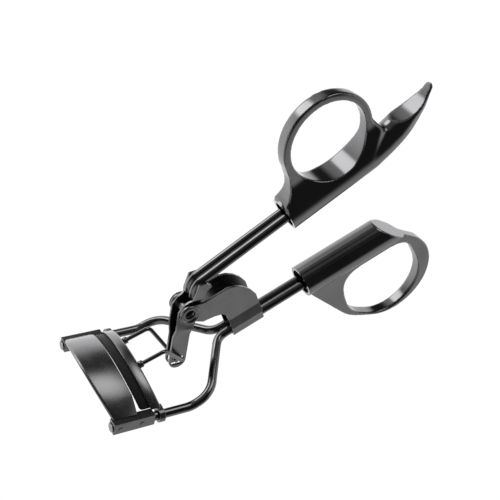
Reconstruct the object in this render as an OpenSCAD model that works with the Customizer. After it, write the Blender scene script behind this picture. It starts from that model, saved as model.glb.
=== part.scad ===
/* [Wires] */
// Diameter of the frame wires and the handle wires
wire_d = 2.4; // [2:0.1:3]
// Diameter of the thin yoke wires
yoke_d = 1.1; // [0.9:0.1:1.3]
/* [Frame] */
// Distance from the rivet down to the lower pair of wires
frame_drop = 15.6; // [14:0.1:17]
// Distance between the centres of the two rails
rail_span = 32; // [28:0.5:36]
// Angle between the rails and the lower pair of wires
rail_tilt = 26.75; // [22:0.25:32]
// Length of each rail from its bend to its front end
rail_length = 22.4; // [21.5:0.1:26]
/* [Jaws] */
// Outer radius of the arch of both jaws
arch_r = 21; // [19:0.5:24]
// Height of the top of the arch above the rails
arch_top = 8.9; // [7:0.1:11]
// Thickness of the fixed jaw's plate
plate_t = 0.8; // [0.6:0.1:1.2]
// Width of the fixed jaw's plate at its ends
plate_w = 6.6; // [5:0.1:9]
// Gap between the pad and the fixed jaw as drawn
jaw_gap = 1.25; // [1.2:0.05:2]
// How far the pad stands out of its holder
pad_out = 2.7; // [1:0.1:3]
/* [Hinge] */
// Thickness of the sheet of the bracket and the lever
sheet_t = 0.7; // [0.5:0.05:0.9]
// Outer radius of the hollow rivet's shank
rivet_r = 1.45; // [1.2:0.05:1.8]
// Radius of the hole through the hollow rivet
rivet_bore_r = 0.95; // [0.6:0.05:1.1]
// Distance from the rivet to the yoke pins along the lever
lever_reach = 16.3; // [14:0.1:18]
// Angle of the lever in the plane of the handles
lever_angle = -115.6; // [-118:0.2:-113]
/* [Grips] */
// Radius of the round body of both grips
grip_r = 4.5; // [4:0.1:5.5]
// Thickness of the finger loops
loop_t = 3.4; // [2.6:0.1:4.4]
// Slope of the upper handle
handle_slope = 8.5; // [6:0.5:12]
// Radius of the hole in the upper finger loop
upper_hole_r = 11; // [9.5:0.1:12]
/* [Hidden] */
$fn = 96;
blend_fn = 32;
slack = 0.02;
wire_r = wire_d / 2;
yoke_r = yoke_d / 2;
pair_z = wire_r + slack;
rail_z = rail_span / 2;
cheek_in = 2 * wire_r + 2 * slack;
cheek_out = cheek_in + sheet_t;
plated = [0.16, 0.16, 0.17];
stamped = [0.30, 0.30, 0.31];
rubber = [0.06, 0.06, 0.06];

// ---- helpers: points are [x, y, z] ----
function unit(v) = v / norm(v);
function turn(a, b, c) = acos(unit(b - a) * unit(c - b));
function setback(p, r, i) =
    i == 0 || i == len(p) - 1 ? 0 : r[i] * tan(turn(p[i - 1], p[i], p[i + 1]) / 2);

// The straights run this far into each bend, and the bends are this much fatter
joint_lap = 0.1;
joint_step = 0.015;

// Turns +Z of its children to the direction d
module along(d) {
    rotate([0, acos(d.z / norm(d)), atan2(d.y, d.x)])
        children();
}

// A round bar between two points
module bar(a, b, r) {
    translate(a)
        along(b - a)
            cylinder(r = r, h = norm(b - a));
}

// The rounded corner of a bent wire at b, coming from a and leaving for c
module corner(a, b, c, bend_r, r) {
    u = unit(b - a);
    w = unit(c - b);
    inward = unit(w - (u * w) * u);
    k = cross(u, inward);
    m = b - u * bend_r * tan(turn(a, b, c) / 2) + inward * bend_r;
    multmatrix([
        [-inward.x, u.x, k.x, m.x],
        [-inward.y, u.y, k.y, m.y],
        [-inward.z, u.z, k.z, m.z],
        [0, 0, 0, 1]
    ])
        rotate_extrude(angle = turn(a, b, c))
            translate([bend_r, 0])
                circle(r + joint_step);
}

// A wire through the points p, with a bend of radius bends[i] at each inner point
module bent_wire(p, bends, r) {
    for (i = [0 : len(p) - 2]) {
        u = unit(p[i + 1] - p[i]);
        from = i == 0 ? 0 : setback(p, bends, i) - joint_lap;
        to = i == len(p) - 2 ? 0 : setback(p, bends, i + 1) - joint_lap;
        bar(p[i] + u * from, p[i + 1] - u * to, r);
    }
    for (i = [1 : len(p) - 2])
        corner(p[i - 1], p[i], p[i + 1], bends[i], r);
}

// The plane of the rails: -X runs to their front ends, +Y away from them, origin at the rail bend
rail_bend_x = -11.5;
module on_rails() {
    translate([rail_bend_x, -frame_drop, 0])
        rotate([0, 0, -rail_tilt])
            children();
}
function rail_point(s, n, z) = [
    rail_bend_x - s * cos(rail_tilt) + n * sin(rail_tilt),
    -frame_drop + s * sin(rail_tilt) + n * cos(rail_tilt),
    z
];

// ---- frame wires ----
fork_x = 4.7;
hoop_x = -5.7;
socket_end_x = 46;
fork_bend = 4.5;
hoop_bend = 7.4;
rail_bend = 6;

module frame_wire(side) {
    bent_wire(
        [
            [socket_end_x, -frame_drop, side * pair_z],
            [fork_x, -frame_drop, side * pair_z],
            [hoop_x, -frame_drop, side * rail_z],
            [rail_bend_x, -frame_drop, side * rail_z],
            rail_point(rail_length, 0, side * rail_z)
        ],
        [0, fork_bend, hoop_bend, rail_bend, 0],
        wire_r
    );
}
module frame_wire_near() color(plated) frame_wire(1);
module frame_wire_far() color(plated) mirror([0, 0, 1]) frame_wire(1);

// ---- bracket: two cheeks and the sleeve round the lower pair of wires ----
eye_r = 2.75;
rivet_hole_r = rivet_r + slack;
sleeve_x0 = 8.8;
sleeve_x1 = 18.3;
sleeve_top = -9.6;
swage_out = 0.25;
swage_top = -10;
swage_bottom = -13.2;
cheek_top = 1.15;

module cheek_outline() {
    circle(eye_r);
    polygon([
        [0, -eye_r], [2.4, -4.9], [5.6, -5.5], [7.9, -6.4], [sleeve_x0, -7.9], [sleeve_x0, sleeve_top - 1],
        [sleeve_x1, sleeve_top - 1], [sleeve_x1, -6.5], [17.2, -3.6], [15.7, -1.4], [14, 0.1],
        [11.6, cheek_top], [4.6, cheek_top], [2.4, 1.9], [1.2, 2.45]
    ]);
}

module bracket() {
    color(stamped) {
        difference() {
            for (side = [-1, 1])
                translate([0, 0, side * (cheek_in + sheet_t / 2)])
                    linear_extrude(sheet_t, center = true)
                        cheek_outline();
            cylinder(r = rivet_hole_r, h = 20, center = true);
        }
        translate([sleeve_x0, 0, 0])
            rotate([0, 90, 0])
                linear_extrude(sleeve_x1 - sleeve_x0)
                    sleeve_section();
    }
}

// Section of the sleeve, drawn across the wires: it hugs them below and is swaged out above
module sleeve_section() {
    difference() {
        union() {
            for (side = [-1, 1])
                translate([side * pair_z, -frame_drop])
                    circle(wire_r + slack + sheet_t);
            translate([-pair_z, -frame_drop - wire_r - slack - sheet_t])
                square([2 * pair_z, 3]);
            translate([-cheek_out, -frame_drop])
                square([2 * cheek_out, sleeve_top + frame_drop]);
            translate([-cheek_out - swage_out, swage_bottom])
                square([2 * (cheek_out + swage_out), swage_top - swage_bottom]);
        }
        for (side = [-1, 1])
            translate([side * pair_z, -frame_drop])
                circle(wire_r + slack);
        translate([-pair_z, -frame_drop - wire_r - slack])
            square([2 * pair_z, 2 * wire_r]);
        translate([-cheek_in, -frame_drop])
            square([2 * cheek_in, 20]);
    }
}

// ---- hollow rivet ----
rivet_head_r = 2.3;
rivet_head_t = 0.45;

module pivot_rivet() {
    color(stamped)
        rotate_extrude()
            polygon([
                [rivet_bore_r, -cheek_out - rivet_head_t], [rivet_head_r - 0.3, -cheek_out - rivet_head_t],
                [rivet_head_r, -cheek_out - 0.15], [rivet_head_r, -cheek_out - slack],
                [rivet_r, -cheek_out - slack], [rivet_r, cheek_out + slack],
                [rivet_head_r, cheek_out + slack], [rivet_head_r, cheek_out + 0.15],
                [rivet_head_r - 0.3, cheek_out + rivet_head_t], [rivet_bore_r, cheek_out + rivet_head_t]
            ]);
}

// ---- lower grip ----
grip_x0 = 32.3;
grip_x1 = 57.5;
mouth_depth = 1.2;
mouth_wall = 0.9;
loop_low = [58.8, -33.2];
loop_low_r = 14;
loop_mid = [52.5, -30.5];
loop_mid_r = 12.3;

module lower_loop_outline() {
    hull() {
        translate(loop_low)
            circle(loop_low_r);
        translate(loop_mid)
            circle(loop_mid_r);
        translate([grip_x0 + 1.2, -frame_drop - 4.2])
            circle(0.5);
        translate([grip_x1 - 1, -frame_drop])
            circle(2);
    }
}

// Circles [x, y, radius] whose hull, cut flat on top, is the lower loop's hole
lower_hole = [[57.3, -34.3, 11.4], [54, -32.4, 10.6], [62.2, -27.8, 5.4], [49, -27.2, 5.5]];
lower_hole_top = -21.8;

module lower_hole_outline() {
    intersection() {
        hull()
            for (c = lower_hole)
                translate([c.x, c.y])
                    circle(c.z);
        translate([30, lower_hole_top - 40])
            square([60, 40]);
    }
}

module lower_grip() {
    color(plated)
        difference() {
            union() {
                translate([grip_x0, -frame_drop, 0])
                    rotate([0, 90, 0])
                        cylinder(r = grip_r, h = grip_x1 - grip_x0);
                linear_extrude(loop_t, center = true)
                    lower_loop_outline();
                hull() {
                    translate([grip_x1 - 2, -frame_drop, 0])
                        rotate([0, 90, 0])
                            cylinder(r = grip_r, h = 2, $fn = blend_fn);
                    translate([66, -23.6, 0])
                        cylinder(r = 1.2, h = loop_t, center = true, $fn = blend_fn);
                }
            }
            linear_extrude(loop_t * 4, center = true)
                lower_hole_outline();
            wire_sockets(socket_end_x + slack);
            translate([grip_x0 - 1, -frame_drop, 0])
                rotate([0, 90, 0])
                    cylinder(r = grip_r - mouth_wall, h = mouth_depth + 1);
        }
}

// The two blind holes of the lower grip that hold the frame wires
module wire_sockets(end_x) {
    for (side = [-1, 1])
        translate([grip_x0 - 1, -frame_drop, side * pair_z])
            rotate([0, 90, 0])
                cylinder(r = wire_r + slack / 2, h = end_x - grip_x0 + 1);
}

// ---- jaws: arched bands, leaning so that both faces stand across the handle ----
lean = 0.36;
arch_centre = arch_top - arch_r;
foot_n = 1.65;
plate_rear = 15.2;
plate_front = plate_rear + plate_w;
front_bulge = 1.35;
rear_bulge = 1;
rear_knee = 5;
jaw_half = rail_z - 0.35;
lip_w = 1.1;
lip_t = 1.15;

// Band of the arch between two radii, drawn across the rails, standing on feet of that height
module arch_band(outer, inner, foot) {
    intersection() {
        difference() {
            translate([0, arch_centre])
                circle(outer, $fn = 180);
            translate([0, arch_centre])
                circle(inner, $fn = 180);
        }
        translate([-jaw_half, foot])
            square([2 * jaw_half, arch_top]);
    }
}

// A band from s0 to s1 along the rails, measured at its feet: the middle leans forward,
// and grows wider by front, and by rear, which it reaches at the knee
module leaning_band(outer, inner, s0, s1, foot, rear = 0, front = 0) {
    intersection() {
        translate([-s1 - 9, 0, 0])
            rotate([0, 90, 0])
                linear_extrude(s1 - s0 + 12)
                    arch_band(outer, inner, foot);
        linear_extrude(2 * rail_span, center = true)
            polygon(concat([
                [-s0, foot_n], [-s1, foot_n],
                [-s1 - lean * (arch_top - foot_n + 1) - front, arch_top + 1],
                [-s0 - lean * (arch_top - foot_n + 1) + rear, arch_top + 1]
            ], rear > 0 ? [[-s0 - lean * (rear_knee - foot_n) + rear, rear_knee]] : []));
    }
}

module fixed_jaw() {
    color(stamped)
        on_rails() {
            leaning_band(arch_r, arch_r - plate_t, plate_rear, plate_front, foot_n,
                rear_bulge, front_bulge);
            leaning_band(arch_r, arch_r - lip_t, plate_front - lip_w, plate_front, foot_n,
                -front_bulge, front_bulge);
        }
}

// ---- clips that fold the jaw's ends round the rails ----
clip_rear = 10.9;
clip_front = plate_front + 0.3;
clip_half_z = 1.45;
clip_top = foot_n - slack;
clip_bottom = -1.4;

pin_r = 0.5;
pin_depth = 0.25;
pin_proud = 0.12;
pin_places = [clip_rear + 3.5, clip_front - 1.8];

module rail_clip() {
    on_rails()
        difference() {
            translate([-clip_front, clip_bottom, rail_z - clip_half_z])
                cube([clip_front - clip_rear, clip_top - clip_bottom, 2 * clip_half_z]);
            translate([-clip_front - 1, 0, rail_z])
                rotate([0, 90, 0])
                    cylinder(r = wire_r + slack / 2, h = clip_front + 2);
            for (s = pin_places)
                translate([-s, 0, rail_z + clip_half_z - pin_depth])
                    cylinder(r = pin_r + slack / 2, h = 3);
        }
}
module rail_clip_near() color(stamped) rail_clip();
module rail_clip_far() color(stamped) mirror([0, 0, 1]) rail_clip();

module clip_rivets() {
    color(plated)
        for (side = [0, 1])
            mirror([0, 0, side])
                on_rails()
                    for (s = pin_places)
                        translate([-s, 0, rail_z + clip_half_z - pin_depth + slack / 2])
                            cylinder(r = pin_r, h = pin_depth + pin_proud);
}

// ---- moving jaw ----
holder_t = 2.2;
holder_w = 2.8;
holder_rear = plate_rear - jaw_gap - pad_out - holder_w;
holder_front = plate_rear - jaw_gap - pad_out;
pad_front = plate_rear - jaw_gap;
pad_back = holder_front - 1.9;
pad_skin = 0.45;
// The feet of the moving jaw pass above the clips
jaw_foot = foot_n + 0.35;

module pad_holder() {
    color(stamped)
        on_rails()
            difference() {
                leaning_band(arch_r, arch_r - holder_t, holder_rear, holder_front, jaw_foot);
                leaning_band(arch_r - pad_skin, arch_r - holder_t + pad_skin, pad_back,
                    holder_front + 2, foot_n);
            }
}

module lash_pad() {
    color(rubber)
        on_rails()
            leaning_band(arch_r - pad_skin - slack, arch_r - holder_t + pad_skin + slack,
                pad_back + slack, pad_front, jaw_foot);
}

// ---- collars: rings that slide on the rails, each with a shoulder under the holder's foot ----
collar_front = 9.7;
collar_rear = 8.1;
collar_r = 1.9;
collar_bore_r = wire_r + 0.05;
shoulder_out = 1.85;
shoulder_in = 0.5;

module guide_collar() {
    on_rails()
        difference() {
            union() {
                translate([-collar_front, 0, rail_z])
                    rotate([0, 90, 0])
                        cylinder(r = collar_r, h = collar_front - collar_rear);
                translate([-collar_front, 0, rail_z - shoulder_out])
                    cube([collar_front - collar_rear, jaw_foot - slack, shoulder_out - shoulder_in]);
            }
            translate([-collar_front - 1, 0, rail_z])
                rotate([0, 90, 0])
                    cylinder(r = collar_bore_r, h = 5);
        }
}
module guide_collar_near() color(stamped) guide_collar();
module guide_collar_far() color(stamped) mirror([0, 0, 1]) guide_collar();

// ---- lever: a channel bent from sheet, narrow at the yoke and wide at the handle wires ----
lever_front = -2.85;
lever_back = 2.05;
lever_tip_r = (lever_back - lever_front) / 2;
lever_mid = (lever_back + lever_front) / 2;
lever_tip = 16.95;
web_t = 0.7;
wide_out = cheek_out;
narrow_out = cheek_in - 0.12;
tip_out = 1.35;
slot_in = 0.7;
slot_out = 2;
slot_half = 1.75;
slot_corner = 0.55;

module lever_outline() {
    polygon([
        [-8.9, 1.3], [-3.8, 0.3], [-2.6, -1.5], [-0.5, lever_front], [lever_tip, lever_front],
        [lever_tip, lever_back], [6.5, lever_back], [2.5, 2.6], [-2.5, 3], [-4.4, 3.3], [-6.7, 3.8],
        [-8, 5.1], [-9.2, 3.4]
    ]);
    translate([lever_tip, lever_mid])
        circle(lever_tip_r);
}

// The back strip of the channel
module web_outline() {
    polygon([
        [12.5, lever_back], [6.5, lever_back], [2.5, 2.6], [-2.5, 3], [-4.4, 3.3], [-6.7, 3.8],
        [-8, 5.1], [-8.5, 4.6], [-7, 3.15], [-4.6, 2.6], [-2.6, 2.3], [2.4, 1.9],
        [6.5, lever_back - web_t], [12.5, lever_back - web_t]
    ]);
}

// Outer half width of the channel along its length, as points [length, half width]
channel_steps = [[-12, wide_out], [-4.5, wide_out], [-3.3, narrow_out], [5.5, narrow_out], [8.5, tip_out],
    [22, tip_out]];

// The channel seen from behind, from the half width less a to the half width less b
module channel_plan(a, b) {
    polygon(concat(
        [for (p = channel_steps) [p.x, p.y - a]],
        [for (i = [len(channel_steps) - 1 : -1 : 0]) [channel_steps[i].x, channel_steps[i].y - b]]
    ));
}

module lever() {
    color(stamped)
        rotate([0, 0, lever_angle])
            difference() {
                union() {
                    for (side = [0, 1])
                        mirror([0, 0, side])
                            intersection() {
                                linear_extrude(10, center = true)
                                    lever_outline();
                                rotate([90, 0, 0])
                                    linear_extrude(30, center = true)
                                        channel_plan(0, sheet_t);
                            }
                    intersection() {
                        linear_extrude(10, center = true)
                            web_outline();
                        rotate([90, 0, 0])
                            linear_extrude(30, center = true)
                                union() {
                                    channel_plan(0, 1.2);
                                    mirror([0, 1])
                                        channel_plan(0, 1.2);
                                    translate([-12, -1.2])
                                        square([34, 2.4]);
                                }
                    }
                }
                cylinder(r = rivet_r + 0.05, h = 20, center = true);
                linear_extrude(20, center = true)
                    yoke_slot();
            }
}

// Window near the lever's tip, long enough for the pins' straight travel
module yoke_slot() {
    translate([lever_reach - slot_in, lever_mid - slot_half + slot_corner])
        square([slot_in + slot_out, 2 * (slot_half - slot_corner)]);
    translate([lever_reach - slot_in + slot_corner, lever_mid - slot_half])
        square([slot_in + slot_out - 2 * slot_corner, 2 * slot_half]);
    for (u = [slot_corner - slot_in, slot_out - slot_corner], v = [-1, 1])
        translate([lever_reach + u, lever_mid + v * (slot_half - slot_corner)])
            circle(slot_corner);
}

// ---- handle wires ----
handle_rise = tan(handle_slope);
function handle_y(x) = 7.41 + handle_rise * (x - 10);
knee_x = 4.4;
handle_bend = 4.5;
handle_end = 3.3;
upper_socket_x = 47;

module handle_wire(side) {
    bent_wire(
        [
            [upper_socket_x, handle_y(upper_socket_x), side * pair_z],
            [knee_x, handle_y(knee_x), side * pair_z],
            [knee_x + handle_end * cos(lever_angle), handle_y(knee_x) + handle_end * sin(lever_angle),
                side * pair_z]
        ],
        [0, handle_bend, 0],
        wire_r
    );
}
module handle_wire_near() color(plated) handle_wire(1);
module handle_wire_far() color(plated) handle_wire(-1);

// ---- upper grip ----
upper_hole = [49.3, 27];
ring_w = 2.1;
tail = [[61, 15, 4.3], [70.5, 18.4, 3.7], [76, 21.7, 2.7], [80.3, 24.6, 1.2]];
scoop_r = 13.5;
scoop_centre = [70.8, 34.1];
upper_x0 = 33.2;
upper_x1 = 59;
upper_len = (upper_x1 - upper_x0) / cos(handle_slope);

module on_handle() {
    translate([upper_x0, handle_y(upper_x0), 0])
        rotate([0, 0, handle_slope])
            rotate([0, 90, 0])
                children();
}

module upper_loop_outline() {
    translate(upper_hole)
        circle(upper_hole_r + ring_w);
    polygon([
        [upper_x0 + 1.5, handle_y(upper_x0)], [36.8, 21], [38, 24], [62.3, 26], [64.3, 23.6], [66, 22],
        [66, 16], [upper_x1, handle_y(upper_x1)]
    ]);
}

module upper_grip() {
    color(plated)
        difference() {
            union() {
                on_handle()
                    cylinder(r = grip_r, h = upper_len);
                linear_extrude(loop_t, center = true)
                    upper_loop_outline();
                difference() {
                    for (i = [1 : len(tail) - 1])
                        hull()
                            for (t = [tail[i - 1], tail[i]])
                                translate([t.x, t.y, 0])
                                    sphere(t.z, $fn = blend_fn);
                    translate([scoop_centre.x, scoop_centre.y, 0])
                        cylinder(r = scoop_r, h = 20, center = true);
                }
            }
            translate([upper_hole.x, upper_hole.y, 0])
                cylinder(r = upper_hole_r, h = 30, center = true);
            for (side = [-1, 1])
                translate([0, 0, side * pair_z])
                    on_handle()
                        translate([0, 0, -1])
                            cylinder(r = wire_r + slack / 2,
                                h = (upper_socket_x - upper_x0) / cos(handle_slope) + 1 + slack);
            on_handle()
                translate([0, 0, -1])
                    cylinder(r = grip_r - mouth_wall, h = mouth_depth + 1);
        }
}

// ---- yoke: two thin wires from the moving jaw to the lever ----
pin_v = 0.72;
foot_z = 4.8;
foot_r = 0.95;
foot_h = 1.2;
foot_high = 7.4;
foot_lean = atan(lean);
foot_s = holder_rear + lean * (foot_high - foot_n);
knee_point = [-9.9, -4.9];
pin_bend = 1.0;
// Middle of a foot, standing square on the leaning back of the holder
foot_mid = rail_point(
    foot_s - foot_h / 2 * cos(foot_lean), foot_high + foot_h / 2 * sin(foot_lean), foot_z);

function lever_point(u, v) = [
    u * cos(lever_angle) - v * sin(lever_angle),
    u * sin(lever_angle) + v * cos(lever_angle)
];

// The near wire's pin passes the window's back end, the far wire's pin its front end
module yoke_wire(side) {
    pin = lever_point(lever_reach, lever_mid + side * pin_v);
    bent_wire(
        [
            [foot_mid.x, foot_mid.y, side * foot_z],
            [knee_point.x, knee_point.y, side * foot_z],
            [pin.x, pin.y, side * 2.3],
            [pin.x, pin.y, -side * 2.0]
        ],
        [0, 1.6, pin_bend, 0],
        yoke_r
    );
}
module yoke_wire_near() color(plated) yoke_wire(1);
module yoke_wire_far() color(plated) yoke_wire(-1);

// A weld pad on the back of the holder, round the end of a yoke wire
module yoke_foot() {
    difference() {
        on_rails()
            translate([-foot_s, foot_high, foot_z])
                rotate([0, 90, foot_lean])
                    translate([0, 0, slack])
                        cylinder(r = foot_r, h = foot_h);
        bar(foot_mid, [knee_point.x, knee_point.y, foot_z], yoke_r + slack / 2);
        translate(foot_mid)
            sphere(yoke_r + slack / 2);
    }
}
module yoke_foot_near() color(stamped) yoke_foot();
module yoke_foot_far() color(stamped) mirror([0, 0, 1]) yoke_foot();

frame_wire_near();
frame_wire_far();
bracket();
pivot_rivet();
lower_grip();
fixed_jaw();
rail_clip_near();
rail_clip_far();
clip_rivets();
handle_wire_near();
handle_wire_far();
lever();
upper_grip();
pad_holder();
lash_pad();
guide_collar_near();
guide_collar_far();
yoke_wire_near();
yoke_wire_far();
yoke_foot_near();
yoke_foot_far();
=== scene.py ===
"""Eyelash curler in black nickel, built round its packed mechanical frame."""

import math

import bpy
from mathutils import Matrix, Vector


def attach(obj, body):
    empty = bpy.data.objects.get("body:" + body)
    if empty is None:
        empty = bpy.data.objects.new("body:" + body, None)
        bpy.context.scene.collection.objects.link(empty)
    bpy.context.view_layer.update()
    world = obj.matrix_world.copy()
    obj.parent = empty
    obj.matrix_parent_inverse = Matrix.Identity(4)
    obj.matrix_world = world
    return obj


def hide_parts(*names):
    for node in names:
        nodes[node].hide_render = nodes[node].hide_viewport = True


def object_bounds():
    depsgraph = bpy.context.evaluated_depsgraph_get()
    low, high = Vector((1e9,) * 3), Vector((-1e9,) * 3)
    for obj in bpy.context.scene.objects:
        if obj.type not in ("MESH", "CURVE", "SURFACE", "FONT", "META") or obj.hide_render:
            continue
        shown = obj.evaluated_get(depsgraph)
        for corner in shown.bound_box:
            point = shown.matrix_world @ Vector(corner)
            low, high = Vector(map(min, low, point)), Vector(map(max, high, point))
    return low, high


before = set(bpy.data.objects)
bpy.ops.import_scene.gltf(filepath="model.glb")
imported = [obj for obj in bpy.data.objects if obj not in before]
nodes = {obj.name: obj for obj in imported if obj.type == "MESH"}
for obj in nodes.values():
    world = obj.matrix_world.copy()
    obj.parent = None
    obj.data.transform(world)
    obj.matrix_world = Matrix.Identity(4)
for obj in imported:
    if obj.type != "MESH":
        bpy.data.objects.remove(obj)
cad_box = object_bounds()

# ---- camera ----
# A short telephoto view down on the tool, with the rivet's near end turned towards the lens.
eye = Vector((-0.03065, 0.19635, 0.17325))
view_right = Vector((0.8403, -0.2206, 0.4951))
view_down = Vector((-0.5044, -0.6527, 0.5652))
view_ahead = Vector((0.1985, -0.7248, -0.6598))
camera_data = bpy.data.cameras.new("camera")
camera_data.lens = 73.8
camera_data.sensor_width = 36
camera = bpy.data.objects.new("camera", camera_data)
bpy.context.scene.collection.objects.link(camera)
camera_axes = Matrix((view_right, -view_down, -view_ahead)).transposed()
camera.matrix_world = Matrix.Translation(eye) @ camera_axes.to_4x4()
bpy.context.scene.camera = camera


# ---- studio ----
# A white sweep under and behind the tool, a soft box and four cards round it, and a dark room in front.
# The values below say how bright the light is from each direction. The lens sees plain white behind the tool.
class Value:
    """A socket whose arithmetic adds Math nodes to its graph."""

    def __init__(self, graph, socket):
        self.graph = graph
        self.socket = socket

    def maths(self, operation, *others):
        values = {i: v for i, v in enumerate((self, *others))}
        return self.graph.node("ShaderNodeMath", {"operation": operation}, values)

    def __add__(self, other):
        return self.maths("ADD", other)

    def __mul__(self, other):
        return self.maths("MULTIPLY", other)

    def __rsub__(self, other):
        return self.maths("MULTIPLY", -1).maths("ADD", other)

    __radd__ = __add__
    __rmul__ = __mul__

    def step(self, low, high):
        """0 below low, 1 above high, and smooth between them."""
        return self.graph.node(
            "ShaderNodeMapRange",
            {"interpolation_type": "SMOOTHSTEP"},
            {"Value": self, "From Min": low, "From Max": high},
        )


class Graph:
    """The nodes of one material or of the world."""

    def __init__(self, tree):
        self.tree = tree
        tree.nodes.clear()

    def node(self, kind, settings=None, values=None, out=0):
        """Adds a node with these settings and input values, and gives its output number out."""
        made = self.tree.nodes.new(kind)
        for name, value in (settings or {}).items():
            setattr(made, name, value)
        for name, value in (values or {}).items():
            if isinstance(value, Value):
                self.tree.links.new(value.socket, made.inputs[name])
            else:
                made.inputs[name].default_value = value
        return Value(self, made.outputs[out]) if made.outputs else None


def direction(azimuth, height):
    """A unit vector, its azimuth from +Z towards +X and its height towards +Y, in degrees."""
    flat = math.cos(math.radians(height))
    turn = math.radians(azimuth)
    return (flat * math.sin(turn), math.sin(math.radians(height)), flat * math.cos(turn))


world = bpy.data.worlds.new("studio")
bpy.context.scene.world = world
world.use_nodes = True
sky = Graph(world.node_tree)
seen = sky.node("ShaderNodeTexCoord")


def towards(azimuth, height):
    """How far the seen direction lies towards that one, as a cosine."""
    return sky.node(
        "ShaderNodeVectorMath", {"operation": "DOT_PRODUCT"}, {0: seen, 1: direction(azimuth, height)}, out=1
    )


room_light = 0.05
sweep_below = towards(0, -90).step(0.34, 0.78) * 1.05
sweep_behind = towards(-165, -8).step(0.42, 0.85) * 2.2
sweep_top = towards(175, 38).step(0.85, 0.95) * 0.9
soft_box = towards(-168, 50).step(0.95, 0.975) * 4.2
ceiling = towards(120, 78).step(0.75, 0.98) * 0.25
left_card = towards(-68, -4).step(0.62, 0.95) * 0.95
right_card = towards(84, 42).step(0.92, 0.995) * 3.0
rear_card = towards(130, -18).step(0.88, 0.97) * 2.0
low_card = towards(72, -20).step(0.76, 0.95) * 0.9
sweep = sweep_below.maths("MAXIMUM", sweep_behind).maths("MAXIMUM", sweep_top)
studio_light = sweep + soft_box + ceiling + left_card + right_card + rear_card + low_card + room_light
to_camera = sky.node("ShaderNodeLightPath")
seen_white = 1.27
strength = to_camera * seen_white + (1 - to_camera) * studio_light
backdrop = sky.node("ShaderNodeBackground", {}, {"Strength": strength})
sky.node("ShaderNodeOutputWorld", {}, {"Surface": backdrop})

# A pale floor just under the tool, which lies on its far side. It glows, so no hard shadow falls on it.
floor_gap = 0.0004
floor_height = cad_box[0][2] - floor_gap
bpy.ops.object.select_all(action="DESELECT")
bpy.ops.mesh.primitive_plane_add(size=3, location=(0, 0, floor_height))
floor = bpy.context.object
floor.name = "floor"
floor_material = bpy.data.materials.new("pale_floor")
floor_material.use_nodes = True
ground = Graph(floor_material.node_tree)
glow = ground.node("ShaderNodeEmission", {}, {"Color": (1, 1, 1, 1), "Strength": 1.02})
ground.node("ShaderNodeOutputMaterial", {}, {"Surface": glow})
floor.data.materials.append(floor_material)
floor.visible_glossy = False
floor.visible_shadow = False
bpy.context.scene.view_settings.view_transform = "Standard"


def plated(name, colour, roughness, scuffs, peel, grain=1.0):
    """Black nickel plating: cloudy tone, fine scuffs that dull it, and a faint orange peel."""
    material = bpy.data.materials.new(name)
    material.use_nodes = True
    graph = Graph(material.node_tree)
    place = graph.node("ShaderNodeTexCoord", out=3)
    clouds = graph.node("ShaderNodeTexNoise", {}, {"Vector": place, "Scale": 140 * grain, "Detail": 3})
    stretch = graph.node("ShaderNodeMapping", {}, {"Vector": place, "Scale": (1, 6, 3)})
    fine = graph.node("ShaderNodeTexNoise", {}, {"Vector": stretch, "Scale": 900 * grain, "Detail": 5})
    marks = fine.step(0.56, 0.72)
    tone = graph.node(
        "ShaderNodeMix",
        {"data_type": "RGBA"},
        {0: clouds.step(0.3, 0.75), 6: (*[c * 0.92 for c in colour], 1), 7: (*[c * 1.1 for c in colour], 1)},
        out=2,
    )
    dull = clouds.step(0.35, 0.8) * 0.04 + marks * scuffs + roughness
    skin = graph.node("ShaderNodeTexNoise", {}, {"Vector": place, "Scale": 700 * grain, "Detail": 2})
    relief = graph.node(
        "ShaderNodeBump", {}, {"Height": skin + fine * 0.3, "Strength": peel, "Distance": 0.00004}
    )
    shader = graph.node(
        "ShaderNodeBsdfPrincipled",
        {},
        {
            "Base Color": tone,
            "Metallic": 1.0,
            "Roughness": dull,
            "Normal": relief,
            "Specular Tint": (0.8, 0.8, 0.81, 1),
        },
    )
    graph.node("ShaderNodeOutputMaterial", {}, {"Surface": shader})
    return material


wire_nickel = plated("wire_nickel", (0.14, 0.14, 0.143), 0.13, 0.08, 0.2)


def finish(name, material):
    """Gives a CAD node that stays its finish."""
    for slot in nodes[name].material_slots:
        slot.material = material


for wire in ("frame_wire", "handle_wire", "yoke_wire"):
    for side in ("near", "far"):
        finish(wire + "_" + side, wire_nickel)

# ---- bracket ----
# Two cheeks pressed from one sheet and closed round the lower wires in a sleeve.
# Tumbling has broken its edges.
MM = 0.001


def only(piece):
    """Leaves that piece alone selected, and active."""
    bpy.ops.object.select_all(action="DESELECT")
    piece.select_set(True)
    bpy.context.view_layer.objects.active = piece


def modify(piece, kind, **settings):
    """Adds one modifier to the piece and applies it."""
    only(piece)
    modifier = piece.modifiers.new(kind, kind)
    for setting, value in settings.items():
        setattr(modifier, setting, value)
    bpy.ops.object.modifier_apply(modifier=modifier.name)


def smooth(piece, degrees=32):
    """Shades the piece smooth, with its sharper edges kept crisp."""
    only(piece)
    bpy.ops.object.shade_smooth_by_angle(angle=math.radians(degrees))


def fit(piece, name, body, material, replaced):
    """Names a finished piece, gives it its finish, and hangs it on its body in place of its CAD nodes."""
    piece.name = name
    piece.data.name = name
    piece.data.materials.clear()
    piece.data.materials.append(material)
    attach(piece, body)
    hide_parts(*replaced)


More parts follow.
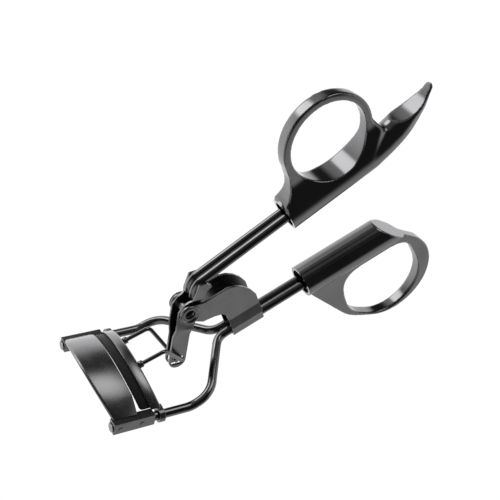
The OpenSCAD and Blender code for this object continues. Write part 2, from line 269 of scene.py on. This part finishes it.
def broken_edges(node, width):
    """A copy of a CAD node with its edges rounded by width, in metres."""
    piece = bpy.data.objects.new(node + "_part", nodes[node].data.copy())
    bpy.context.scene.collection.objects.link(piece)
    only(piece)
    bpy.ops.object.mode_set(mode="EDIT")
    bpy.ops.mesh.select_all(action="SELECT")
    bpy.ops.mesh.remove_doubles(threshold=0.002 * MM)
    bpy.ops.mesh.customdata_custom_splitnormals_clear()
    bpy.ops.mesh.dissolve_limited(angle_limit=math.radians(0.4))
    bpy.ops.object.mode_set(mode="OBJECT")
    modify(
        piece,
        "BEVEL",
        width=width,
        segments=2,
        limit_method="ANGLE",
        angle_limit=math.radians(40),
        use_clamp_overlap=False,
        miter_outer="MITER_ARC",
    )
    smooth(piece, 50)
    modify(piece, "WEIGHTED_NORMAL", mode="FACE_AREA_WITH_ANGLE", weight=80, keep_sharp=True)
    return piece


def clamped(value):
    """The value, held between 0 and 1."""
    return min(max(value, 0), 1)


satin_nickel = plated("satin_nickel", (0.15, 0.15, 0.152), 0.27, 0.06, 0.16, 1.6)
bracket = broken_edges("bracket", 0.1 * MM)
# The sheet swells a little over the wires, from flat at the sleeve's top to full at its fold.
sleeve_front = 8.6
sleeve_back = 18.5
cheek_face = 3.16
sleeve_top = -10.4
sleeve_fold = -12.9
sleeve_swell = 0.4
for v in bracket.data.vertices:
    x, y, z = v.co / MM
    on_sleeve = sleeve_front < x < sleeve_back and sleeve_fold - 0.5 < y < sleeve_top + 0.6
    if on_sleeve and abs(z) > cheek_face:
        low = clamped((sleeve_top + 0.3 - y) / (sleeve_top - sleeve_fold))
        v.co.z = math.copysign(cheek_face + (abs(z) - cheek_face) * low + sleeve_swell * low, z) * MM
modify(bracket, "WEIGHTED_NORMAL", mode="FACE_AREA_WITH_ANGLE", weight=80, keep_sharp=True)
fit(bracket, "bracket_cheeks", "frame", satin_nickel, ["bracket"])

# ---- rivet ----
# A hollow rivet, its two ends rolled over the cheeks: a rounded rim round a dark hole.
rivet_bore = 1.0
rivet_shank = 1.45
rim_radius = 2.85
rim_seat = 3.16
rim_proud = 0.45


def spun(profile, steps, angle, centre, axis, closed=True):
    """A closed profile of points, swept round an axis by the spin operator."""
    bpy.ops.object.select_all(action="DESELECT")
    bpy.ops.mesh.primitive_circle_add(vertices=len(profile), radius=1, fill_type="NOTHING")
    piece = bpy.context.object
    for corner, point in zip(piece.data.vertices, profile):
        corner.co = point
    bpy.ops.object.mode_set(mode="EDIT")
    bpy.ops.mesh.select_all(action="SELECT")
    bpy.ops.mesh.spin(steps=steps, angle=angle, center=centre, axis=axis)
    bpy.ops.mesh.select_all(action="SELECT")
    bpy.ops.mesh.remove_doubles(threshold=0.0005)
    if not closed:
        bpy.ops.mesh.fill_holes(sides=0)
    bpy.ops.mesh.select_all(action="SELECT")
    bpy.ops.mesh.normals_make_consistent(inside=False)
    bpy.ops.object.mode_set(mode="OBJECT")
    return piece


def metres(piece):
    """Takes a piece drawn in millimetres to its real size."""
    piece.data.transform(Matrix.Scale(MM, 4))
    return piece


rim = [
    (rivet_shank, rim_seat),
    (rim_radius - 0.05, rim_seat),
    (rim_radius, rim_seat + 0.1),
    (rim_radius - 0.08, rim_seat + 0.28),
    (rim_radius - 0.22, rim_seat + 0.4),
    (rim_radius - 0.42, rim_seat + rim_proud),
    (rim_radius - 0.62, rim_seat + 0.4),
    (rim_radius - 0.78, rim_seat + 0.26),
    (rim_radius - 1.3, rim_seat - 0.42),
    (rivet_bore + 0.25, rim_seat - 0.72),
    (rivet_bore, rim_seat - 1.1),
]
rivet_profile = [(r, 0, z) for r, z in rim] + [(r, 0, -z) for r, z in reversed(rim)]
rivet = metres(spun(rivet_profile, 96, 2 * math.pi, (0, 0, 0), (0, 0, 1)))
smooth(rivet, 50)
fit(rivet, "rivet_rim", "frame", satin_nickel, ["pivot_rivet"])

# ---- jaws ----
# The fixed jaw is one arched plate with its front edge rolled under. The moving jaw is an arched channel
# that holds the rubber strip. All three follow one arch, and lean forward towards their middle.
arch_centre = -12.1
arch_reach = math.radians(53)
foot_line = 1.65
jaw_half_width = 15.65
arch_lean = 0.36
full_rise = 8.25
rear_knee = 3.35
rail_tilt = math.radians(26.75)
rails = Matrix.Translation((-11.5, -15.6, 0)) @ Matrix.Rotation(-rail_tilt, 4, "Z")


def arched(profile, foot, half, ends, rear_bulge=0, front_bulge=0):
    """Sweeps a profile of (distance along the rails, radius) round the arch, trims its feet and leans it.

    The middle also grows wider: by front_bulge at its front edge, and by rear_bulge at its rear edge."""
    start = [(-s, arch_centre + r * math.cos(arch_reach), -r * math.sin(arch_reach)) for s, r in profile]
    piece = spun(start, 110, 2 * arch_reach, (0, arch_centre, 0), (-1, 0, 0), closed=False)
    only(piece)
    bpy.ops.object.mode_set(mode="EDIT")
    trims = [((0, foot, 0), (0, 1, 0)), ((0, 0, -half), (0, 0, 1)), ((0, 0, half), (0, 0, -1))]
    for place, normal in trims:
        bpy.ops.mesh.select_all(action="SELECT")
        bpy.ops.mesh.bisect(plane_co=place, plane_no=normal, use_fill=True, clear_inner=True)
    bpy.ops.mesh.select_all(action="SELECT")
    bpy.ops.mesh.remove_doubles(threshold=0.002)
    bpy.ops.mesh.normals_make_consistent(inside=False)
    bpy.ops.object.mode_set(mode="OBJECT")
    near = min(s for s, r in profile)
    wide = max(s for s, r in profile) - near
    for v in piece.data.vertices:
        rise = v.co.y - foot_line
        share = (-v.co.x - near) / wide
        v.co.x -= arch_lean * rise + share * front_bulge * rise / full_rise
        v.co.x += (1 - share) * rear_bulge * min(rise / rear_knee, 1)
    modify(piece, "BEVEL", width=ends, segments=3, limit_method="ANGLE", angle_limit=math.radians(55))
    piece.data.transform(rails)
    metres(piece)
    smooth(piece, 40)
    return piece


def bend(centre, radius, start, end, steps=6):
    """Points of an arc in the profile, its angles in degrees."""
    angles = [math.radians(start + (end - start) * i / steps) for i in range(steps + 1)]
    return [(centre[0] + radius * math.cos(a), centre[1] + radius * math.sin(a)) for a in angles]


plate_profile = [
    *bend((15.3, 20.9), 0.1, 180, 90, 2),
    *bend((21.0, 20.2), 0.8, 90, 0, 7),
    *bend((21.6, 20.0), 0.2, 0, -180, 4),
    *bend((20.9, 19.9), 0.3, 0, 90, 3),
    *bend((15.3, 20.3), 0.1, 270, 180, 2),
]
satin_plate = plated("satin_plate", (0.19, 0.19, 0.193), 0.25, 0.06, 0.12, 1.6)
fixed_plate = arched(plate_profile, foot_line, jaw_half_width, 0.12, rear_bulge=1, front_bulge=1.35)
fit(fixed_plate, "fixed_jaw_plate", "frame", satin_plate, ["fixed_jaw"])

holder_profile = [
    *bend((8.85, 20.6), 0.4, 180, 90, 4),
    *bend((11.1, 20.85), 0.15, 90, 0, 2),
    (11.25, 20.57),
    (9.35, 20.57),
    (9.35, 19.23),
    (11.25, 19.23),
    *bend((11.1, 18.95), 0.15, 0, -90, 2),
    *bend((8.85, 19.2), 0.4, 270, 180, 4),
]
holder = arched(holder_profile, foot_line + 0.35, jaw_half_width, 0.15)
fit(holder, "pad_channel", "jaw", satin_plate, ["pad_holder"])

pad_profile = [
    (9.4, 20.54),
    *bend((13.35, 19.95), 0.58, 88, 0, 5),
    *bend((13.35, 19.85), 0.58, 0, -88, 5),
    (9.4, 19.26),
]
rubber_material = bpy.data.materials.new("matt_rubber")
rubber_material.use_nodes = True
rubber = Graph(rubber_material.node_tree)
on_pad = rubber.node("ShaderNodeTexCoord", out=3)
dust = rubber.node("ShaderNodeTexNoise", {}, {"Vector": on_pad, "Scale": 2600, "Detail": 4})
bloom = rubber.node("ShaderNodeTexNoise", {}, {"Vector": on_pad, "Scale": 260, "Detail": 3})
rubber_tone = rubber.node(
    "ShaderNodeMix",
    {"data_type": "RGBA"},
    {0: bloom.step(0.3, 0.7) * 0.6 + dust * 0.4, 6: (0.005, 0.005, 0.005, 1), 7: (0.014, 0.014, 0.014, 1)},
    out=2,
)
rubber_relief = rubber.node("ShaderNodeBump", {}, {"Height": dust, "Strength": 0.5, "Distance": 0.00006})
rubber_shader = rubber.node(
    "ShaderNodeBsdfPrincipled",
    {},
    {
        "Base Color": rubber_tone,
        "Roughness": bloom * 0.15 + 0.6,
        "Normal": rubber_relief,
        "Specular IOR Level": 0.25,
    },
)
rubber.node("ShaderNodeOutputMaterial", {}, {"Surface": rubber_shader})
pad = arched(pad_profile, foot_line + 0.4, jaw_half_width - 0.25, 0.45)
fit(pad, "lash_pad_strip", "jaw", rubber_material, ["lash_pad"])

# ---- clips and collars ----
# The plate's ends are folded round the rails and pinned. The moving jaw slides on the rails by two collars.
for side in ("near", "far"):
    clip = broken_edges("rail_clip_" + side, 0.16 * MM)
    fit(clip, "rail_clip_fold_" + side, "frame", satin_nickel, ["rail_clip_" + side])
    collar = broken_edges("guide_collar_" + side, 0.14 * MM)
    fit(collar, "collar_ring_" + side, "jaw", satin_nickel, ["guide_collar_" + side])
    foot = broken_edges("yoke_foot_" + side, 0.22 * MM)
    fit(foot, "weld_bead_" + side, "jaw", satin_nickel, ["yoke_foot_" + side])
finish("clip_rivets", wire_nickel)

# ---- lever ----
# The crank of the handle: sheet bent into a narrow channel, with the window for the yoke at its tip.
fit(broken_edges("lever", 0.1 * MM), "lever_channel", "handle", satin_nickel, ["lever"])

# ---- upper grip ----
# Moulded and plated like the rest: a round body that thins in a hollow curve into a flat finger ring,
# and ends in a horn with a scooped thumb rest. The handle wires go into its open front end.
handle_slope = math.radians(8.5)
handle_along = Vector((math.cos(handle_slope), math.sin(handle_slope), 0))
handle_up = Vector((-math.sin(handle_slope), math.cos(handle_slope), 0))
handle_bend = Vector((10, 7.41))
grip_radius = 4.5
ring_half = 1.7
mouth_x = 33.2
mouth = Vector((mouth_x, handle_bend.y + math.tan(handle_slope) * (mouth_x - handle_bend.x), 0))
ring_centre = Vector((49.3, 27, 0))
ring_outer = 13.1
ring_inner = 11.0
blend_height = 9.0
section_top = 40


def slab(outline, low, high):
    """A flat outline, extruded from low to high along Z."""
    bpy.ops.object.select_all(action="DESELECT")
    bpy.ops.mesh.primitive_circle_add(vertices=len(outline), radius=1, fill_type="NGON")
    piece = bpy.context.object
    for corner, point in zip(piece.data.vertices, outline):
        corner.co = (point[0], point[1], low)
    bpy.ops.object.mode_set(mode="EDIT")
    bpy.ops.mesh.select_all(action="SELECT")
    bpy.ops.mesh.extrude_region_move(TRANSFORM_OT_translate={"value": (0, 0, high - low)})
    bpy.ops.mesh.select_all(action="SELECT")
    bpy.ops.mesh.normals_make_consistent(inside=False)
    bpy.ops.object.mode_set(mode="OBJECT")
    return piece


def rod(start, end, radius, sides=128):
    """A round bar from start to end."""
    start, end = Vector(start), Vector(end)
    run = end - start
    bpy.ops.object.select_all(action="DESELECT")
    bpy.ops.mesh.primitive_cylinder_add(
        vertices=sides,
        radius=radius,
        depth=run.length,
        location=(start + end) / 2,
        rotation=run.to_track_quat("Z", "Y").to_euler(),
    )
    bpy.ops.object.transform_apply(location=True, rotation=True, scale=True)
    return bpy.context.object


def combine(piece, other, operation):
    """Joins, cuts or crosses the piece with another, which is used up."""
    modify(piece, "BOOLEAN", object=other, operation=operation, solver="EXACT")
    bpy.data.objects.remove(other)


def on_handle(along, up, side=0):
    """A point placed from the grip's mouth: along the wires, up from them, and to the near side."""
    return mouth + handle_along * along + handle_up * up + Vector((0, 0, side))


def on_handle_slab(along, up, half):
    """A block whose sides run along and across the handle, and reach half to either side of it."""
    corners = [(along[0], up[0]), (along[1], up[0]), (along[1], up[1]), (along[0], up[1])]
    return slab([on_handle(u, h)[:2] for u, h in corners], -half, half)


def round_bar(centre, radius, half, sides=192):
    """A round bar across the tool, reaching half to either side of its middle."""
    centre = Vector((*centre[:2], 0))
    return rod(centre - Vector((0, 0, half)), centre + Vector((0, 0, half)), radius, sides)


# Seen from the front, the grip is a half circle below that narrows to the ring's thickness above.
lower_arc = bend((0, 0), grip_radius, -90, 0, 12)
flare = [
    (ring_half + (grip_radius - ring_half) * (0.5 + 0.5 * math.cos(math.pi * i / 14)), blend_height * i / 14)
    for i in range(1, 15)
]
half_section = [*lower_arc, *flare, (ring_half, section_top)]
section = [*half_section, *[(-a, h) for a, h in reversed(half_section[1:])]]
thickness = slab(section, -4, 40)
handle_axes = Matrix(((0, 0, -1), handle_up, handle_along)).transposed()
thickness.data.transform(Matrix.Translation(mouth) @ handle_axes.to_4x4())
ring = round_bar(ring_centre, ring_outer, 6)
strip = on_handle_slab((3, 28), (-4.6, 3), 6)
neck = slab(
    [
        (33.0, 12.0),
        (32.9, 15.2),
        (34.3, 16.3),
        (35.5, 18.0),
        (36.2, 20.0),
        (36.5, 22.2),
        (36.3, 25.5),
        (49.3, 27.0),
        (62.2, 26.3),
        (63.4, 23.8),
        (64.4, 21.8),
        (65.2, 20.0),
        (65.2, 17.0),
        (62.0, 14.0),
        (49.0, 12.0),
    ],
    -6,
    6,
)
combine(ring, strip, "UNION")
combine(ring, neck, "UNION")
combine(ring, thickness, "INTERSECT")
# Seen from above, the neck narrows towards the horn. The outline is drawn flat, then stood up.
plan_top = 45
half_plan = [(28, 6), (55, 6), (57.5, 4.7), (60, 3.9), (62, 3.1), (64, 2.3), (66, ring_half)]
plan = slab([(x, -z) for x, z in half_plan] + half_plan[::-1], -plan_top, 0)
plan.data.transform(Matrix.Rotation(math.pi / 2, 4, "X"))
combine(ring, plan, "INTERSECT")
upper_grip = ring
combine(upper_grip, rod(on_handle(-1.5, 0), on_handle(26, 0), grip_radius), "UNION")

# The horn's line, as (x, y, radius).
horn_line = [
    (56, 14.28, 4.5),
    (61, 15.05, 4.3),
    (66, 16.45, 4.05),
    (70.5, 18.4, 3.7),
    (76, 21.8, 2.75),
    (79.9, 24.6, 1.5),
]
horn_curve = bpy.data.curves.new("horn", "CURVE")
horn_curve.dimensions = "3D"
horn_curve.bevel_depth = 1
horn_curve.bevel_resolution = 16
horn_curve.use_fill_caps = True
horn_spline = horn_curve.splines.new("BEZIER")
horn_spline.bezier_points.add(len(horn_line) - 1)
horn_spline.resolution_u = 10
for point, (x, y, radius) in zip(horn_spline.bezier_points, horn_line):
    point.co = (x, y, 0)
    point.radius = radius
    point.handle_left_type = point.handle_right_type = "AUTO"
horn = bpy.data.objects.new("horn", horn_curve)
bpy.context.scene.collection.objects.link(horn)
only(horn)
bpy.ops.object.convert(target="MESH")
horn = bpy.context.object
tip_x, tip_y, tip_radius = horn_line[-1]
bpy.ops.object.select_all(action="DESELECT")
bpy.ops.mesh.primitive_uv_sphere_add(
    segments=48, ring_count=24, radius=tip_radius, location=(tip_x, tip_y, 0)
)
bpy.ops.object.transform_apply(location=True, rotation=True, scale=True)
horn_tip = bpy.context.object
combine(upper_grip, horn, "UNION")
combine(upper_grip, horn_tip, "UNION")
combine(upper_grip, round_bar(ring_centre, ring_inner, 9), "DIFFERENCE")
# The thumb rest is scooped by a large round bar, which starts behind the ring.
scoop_centre = (70.8, 34.3)
scoop_radius = 13.5
scoop_start = 64.6
scoop = round_bar(scoop_centre, scoop_radius, 9, 256)
behind_ring = slab([(scoop_start, 10), (95, 10), (95, 50), (scoop_start, 50)], -10, 10)
combine(scoop, behind_ring, "INTERSECT")
combine(upper_grip, scoop, "DIFFERENCE")
modify(upper_grip, "REMESH", mode="VOXEL", voxel_size=0.24)
modify(upper_grip, "SMOOTH", factor=0.5, iterations=15)
# Where the neck runs out into the horn the mould was blended by hand, so that stretch is smoothed more.
neck_blend = upper_grip.vertex_groups.new(name="neck_blend")
blend_start = 52
blend_end = 69
ring_kept = 1.2
for v in upper_grip.data.vertices:
    off_ring = (v.co.xy - ring_centre.xy).length - ring_inner - ring_kept
    weight = clamped(off_ring / 1.5) * clamped((v.co.x - blend_start) / 4) * clamped((blend_end - v.co.x) / 2)
    if weight > 0:
        neck_blend.add([v.index], weight, "REPLACE")
modify(upper_grip, "SMOOTH", factor=0.5, iterations=70, vertex_group="neck_blend")
upper_grip.vertex_groups.clear()

# The front end is cut off square and opened: a shallow mouth, with a socket for each wire at its bottom.
wire_half_gap = 1.22
socket_radius = 1.21
socket_depth = 14.02
mouth_radius = grip_radius - 0.9
combine(upper_grip, on_handle_slab((-4, 0), (-7, 9), 8), "DIFFERENCE")
combine(upper_grip, rod(on_handle(-1, 0), on_handle(1.2, 0), mouth_radius), "DIFFERENCE")
for side in (-wire_half_gap, wire_half_gap):
    socket = rod(on_handle(-1, 0, side), on_handle(socket_depth, 0, side), socket_radius, 64)
    combine(upper_grip, socket, "DIFFERENCE")
metres(upper_grip)
smooth(upper_grip, 30)
gloss_nickel = plated("gloss_nickel", (0.15, 0.15, 0.154), 0.15, 0.04, 0.08, 0.6)
fit(upper_grip, "upper_grip_body", "handle", gloss_nickel, ["upper_grip"])

# ---- lower grip ----
# The same moulding without a horn: a round body, cut off on a slant at the back, over a deep D-shaped loop.
axis_y = -15.6
lower_mouth = 32.3
lower_back = 68


def hull(circles, steps=96):
    """The outline that a string drawn tight round these circles (x, y, radius) makes."""
    points = sorted(
        (x + r * math.cos(2 * math.pi * i / steps), y + r * math.sin(2 * math.pi * i / steps))
        for x, y, r in circles
        for i in range(steps)
    )

    def turns_left(a, b, c):
        return (b[0] - a[0]) * (c[1] - a[1]) > (b[1] - a[1]) * (c[0] - a[0])

    def chain(ordered):
        kept = []
        for p in ordered:
            while len(kept) > 1 and not turns_left(kept[-2], kept[-1], p):
                kept.pop()
            kept.append(p)
        return kept[:-1]

    return chain(points) + chain(points[::-1])


def softened(outline, reach, spacing=0.4):
    """The outline at an even spacing, each point moved to the middle of its neighbours within reach."""
    corners = [Vector(point) for point in outline]
    points = []
    left = 0
    for start, end in zip(corners, corners[1:] + corners[:1]):
        run = (end - start).length
        while left < run:
            points.append(start.lerp(end, left / run))
            left += spacing
        left -= run
    near = round(reach / spacing)
    count = len(points)
    return [
        sum((points[(i + k) % count] for k in range(-near, near + 1)), Vector((0, 0))) / (2 * near + 1)
        for i in range(count)
    ]


lower_grip = rod((31, axis_y, 0), (lower_back, axis_y, 0), grip_radius)
loop_outline = hull([(58.8, -33.2, 14), (52.5, -30.5, 12.3), (33.5, axis_y - 4.2, 0.5), (60, axis_y, 3)])
combine(lower_grip, slab(softened(loop_outline, 2.4), -ring_half, ring_half), "UNION")
# The back end is cut on a slant, along a line through the body's top.
slant_top = Vector((57.5, -11.1))
slant_run = Vector((10.3, -11.3))
slant_out = Vector((11.3, 10.3))
slant_cut = [slant_top - slant_run, slant_top + slant_run * 1.4]
slant_cut += [slant_cut[1] + slant_out, slant_cut[0] + slant_out]
combine(lower_grip, slab(slant_cut, -8, 8), "DIFFERENCE")
hole_outline = hull([(57.3, -34.3, 11.4), (54, -32.4, 10.6), (61.6, -27.6, 5.8), (49, -27.4, 5.6)])
finger_hole = slab(softened(hole_outline, 2.4), -9, 9)
combine(lower_grip, finger_hole, "DIFFERENCE")
modify(lower_grip, "REMESH", mode="VOXEL", voxel_size=0.26)
modify(lower_grip, "SMOOTH", factor=0.5, iterations=12)
# The front end has the same mouth and sockets. A fine mould seam runs along each side of the body.
front = [(28, -25), (lower_mouth, -25), (lower_mouth, -8), (28, -8)]
combine(lower_grip, slab(front, -8, 8), "DIFFERENCE")
combine(lower_grip, rod((31, axis_y, 0), (33.5, axis_y, 0), mouth_radius), "DIFFERENCE")
lower_socket_end = 46.02
seam_turn = math.radians(50)
seam_out = grip_radius + 0.02
seam_radius = 0.17
for side in (-1, 1):
    z = side * wire_half_gap
    socket = rod((31, axis_y, z), (lower_socket_end, axis_y, z), socket_radius, 64)
    combine(lower_grip, socket, "DIFFERENCE")
    y, z = axis_y + seam_out * math.sin(seam_turn), side * seam_out * math.cos(seam_turn)
    combine(lower_grip, rod((30, y, z), (70, y, z), seam_radius, 16), "DIFFERENCE")
metres(lower_grip)
smooth(lower_grip, 30)
fit(lower_grip, "lower_grip_body", "frame", gloss_nickel, ["lower_grip"])
